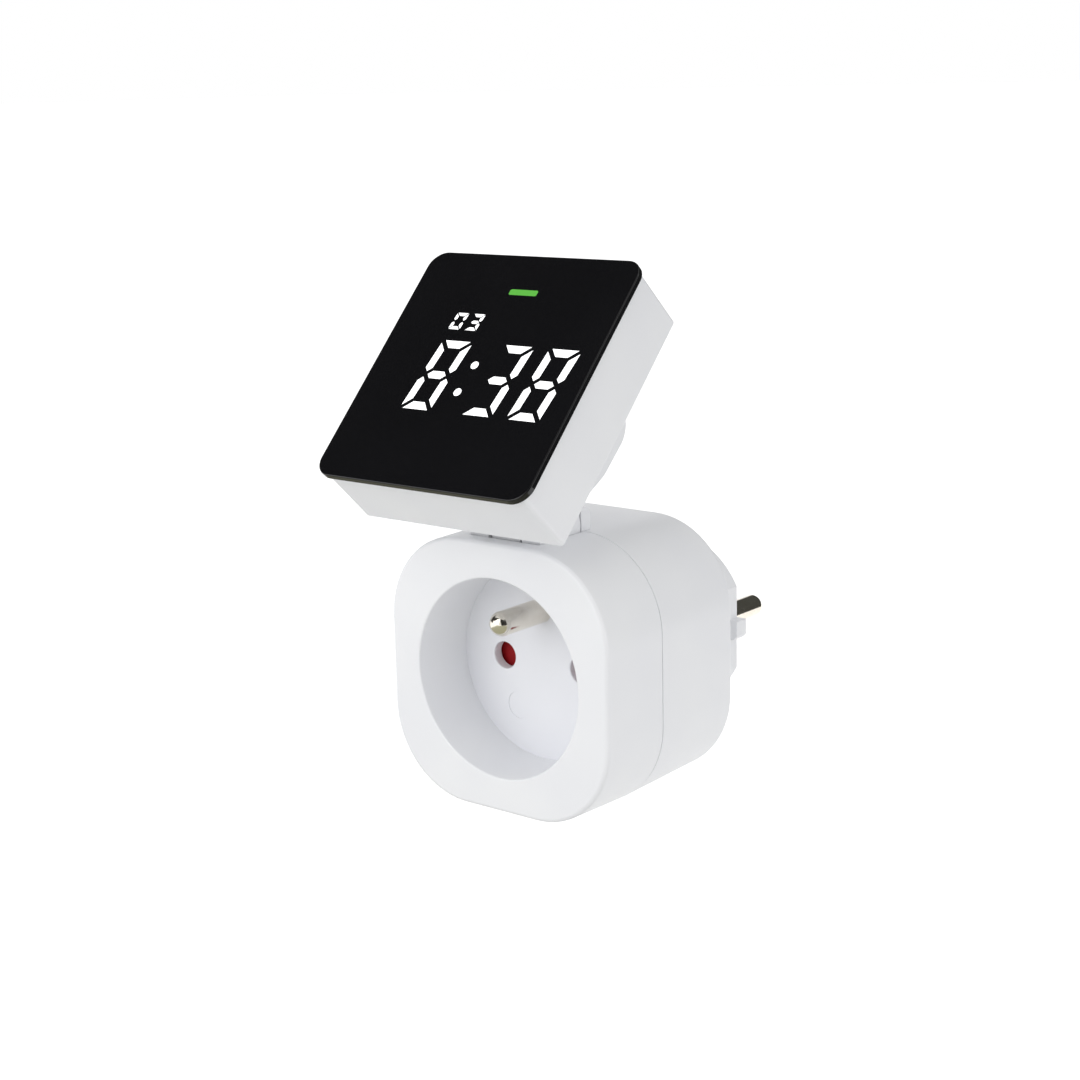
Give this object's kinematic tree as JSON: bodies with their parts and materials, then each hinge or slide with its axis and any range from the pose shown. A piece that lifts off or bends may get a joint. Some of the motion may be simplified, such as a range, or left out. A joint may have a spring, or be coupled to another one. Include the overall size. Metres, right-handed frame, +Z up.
{
  "type": "plug-in timer switch",
  "caption": "Plug-in timer switch: a round plug behind, a socket in front, and a tilting display head with glowing digits on a short neck above the white case.",
  "frame": {"origin": "centre of the plug's end face, midway between the two plug pins", "axes": "+Z up, towards the display head; +Y along the plug pins, into the wall; the socket faces -Y; +X to the right seen from the front"},
  "size_m": [0.0534, 0.0957, 0.1051],
  "materials": {
    "shell_white": "satin moulded",
    "socket_white": "satin moulded",
    "carrier_grey": "moulded",
    "shutter_red": "moulded",
    "spring_steel": "spring steel",
    "contact_brass": "plain",
    "screw_steel": "zinc plated",
    "pin_nickel": "polished nickel plate",
    "earth_tinned": "tinned",
    "insert_grey": "moulded",
    "strip_copper": "copper strip",
    "board_green": "solder resist",
    "relay_black": "moulded",
    "film_yellow": "moulded box",
    "can_aluminium": "can",
    "varistor_blue": "dipped coating",
    "fuse_cream": "moulded",
    "axle_steel": "turned tube",
    "cable_black": "sheath",
    "panel_black": "high gloss",
    "mask_black": "moulded",
    "window_lit": "lit from behind",
    "window_green": "lit from behind",
    "led_white": "reflector moulding",
    "led_green": "diffused",
    "cell_steel": "coin cell",
    "button_white": "satin moulded"
  },
  "bodies": {
    "case": {"front_shell": "shell_white", "rear_shell": "shell_white", "hinge_saddle": "shell_white", "socket_floor": "socket_white", "contact_carrier": "carrier_grey", "shutter_spring": "spring_steel", "friction_washers": "spring_steel", "contact_left": "contact_brass", "contact_right": "contact_brass", "earth_contact": "contact_brass", "carrier_screws": "screw_steel", "case_screws": "screw_steel", "saddle_screws": "screw_steel", "socket_earth_pin": "pin_nickel", "plug_pin_left": "pin_nickel", "plug_pin_right": "pin_nickel", "earth_strap": "earth_tinned", "earth_bracket": "earth_tinned", "pin_carrier": "insert_grey", "live_strip": "strip_copper", "neutral_strip": "strip_copper", "main_board": "board_green", "relay": "relay_black", "film_capacitor": "film_yellow", "electrolytic_capacitor": "can_aluminium", "varistor": "varistor_blue", "fuse": "fuse_cream", "hinge_axle": "axle_steel", "harness_lower": "cable_black"},
    "shutter": {"shutter": "shutter_red"},
    "head": {"head_shell": "shell_white", "display_panel": "panel_black", "panel_frame": "mask_black", "digit_windows": "window_lit", "day_windows": "window_lit", "indicator_window": "window_green", "led_module": "led_white", "indicator_led": "led_green", "display_board": "board_green", "microcontroller": "relay_black", "harness_connector": "fuse_cream", "backup_battery": "cell_steel", "battery_clip": "spring_steel", "tact_switches": "relay_black", "head_screws": "screw_steel", "neck_left": "shell_white", "neck_right": "shell_white", "neck_tie_screws": "screw_steel", "neck_head_screws": "screw_steel", "harness_upper": "cable_black"},
    "clock_button": {"clock_button": "button_white"},
    "program_button": {"program_button": "button_white"},
    "plus_button": {"plus_button": "button_white"},
    "minus_button": {"minus_button": "button_white"}
  },
  "joints": [
    {"name": "head_tilt", "type": "hinge", "parent": "case", "child": "head", "pos_m": [0, -0.0479, 0.0277], "axis": [1, 0, 0], "range_deg": [-3, 20]},
    {"name": "shutter_slide", "type": "slide", "parent": "case", "child": "shutter", "axis": [0, 0, -1], "range_m": [0, 0.0066], "stiffness_N_per_m": 40, "springref_m": -0.004, "deforming": ["shutter_spring"]},
    {"name": "clock_press", "type": "slide", "parent": "head", "child": "clock_button", "axis": [0, -0.6896, -0.7242], "range_m": [0, 0.0005], "stiffness_N_per_m": 300, "springref_m": -0.0008},
    {"name": "program_press", "type": "slide", "parent": "head", "child": "program_button", "axis": [0, -0.6896, -0.7242], "range_m": [0, 0.0005], "stiffness_N_per_m": 300, "springref_m": -0.0008},
    {"name": "plus_press", "type": "slide", "parent": "head", "child": "plus_button", "axis": [0, -0.6896, -0.7242], "range_m": [0, 0.0005], "stiffness_N_per_m": 300, "springref_m": -0.0008},
    {"name": "minus_press", "type": "slide", "parent": "head", "child": "minus_button", "axis": [0, -0.6896, -0.7242], "range_m": [0, 0.0005], "stiffness_N_per_m": 300, "springref_m": -0.0008}
  ]
}
